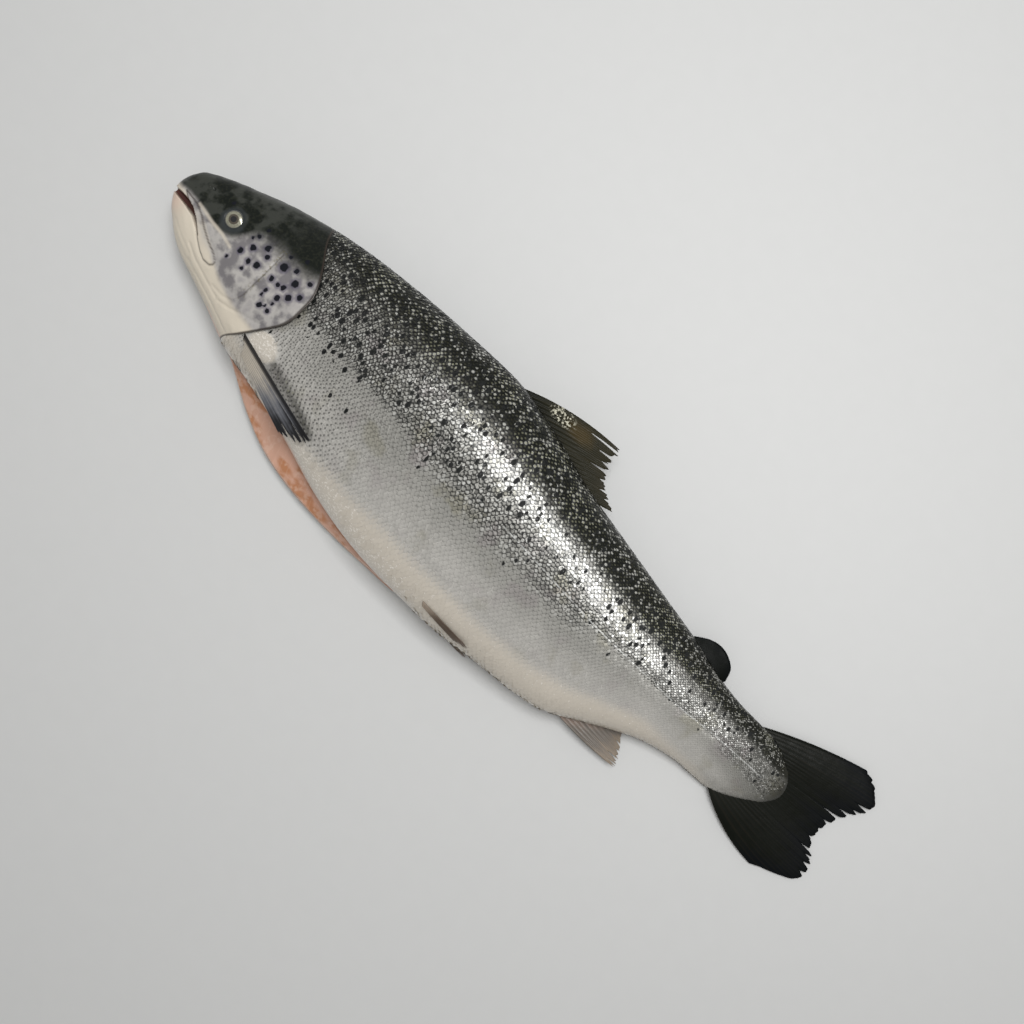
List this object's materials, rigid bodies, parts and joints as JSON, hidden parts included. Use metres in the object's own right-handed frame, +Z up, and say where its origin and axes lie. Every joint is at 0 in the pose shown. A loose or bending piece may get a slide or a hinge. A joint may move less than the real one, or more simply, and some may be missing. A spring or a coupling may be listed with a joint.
{
  "type": "whole raw salmon",
  "caption": "Whole gutted raw salmon lying on its right side, silver with dark spots, with a long belly cut that shows pink flesh.",
  "frame": {"origin": "under the middle of the fish's outer box, on the surface that it lies on", "axes": "+X from the head to the tail, +Y towards the back, +Z up through the left flank"},
  "size_m": [0.7649, 0.2151, 0.085],
  "materials": {
    "silver_skin": "wet fish skin: dark olive back, silver flank with black spots, cream belly",
    "salmon_flesh": "moist raw salmon flesh",
    "eye": "wet, pale straw iris round a black pupil"
  },
  "bodies": {
    "root": {"salmon": "silver_skin", "belly_flesh": "salmon_flesh", "eye_left": "eye", "eye_right": "eye"}
  },
  "joints": []
}
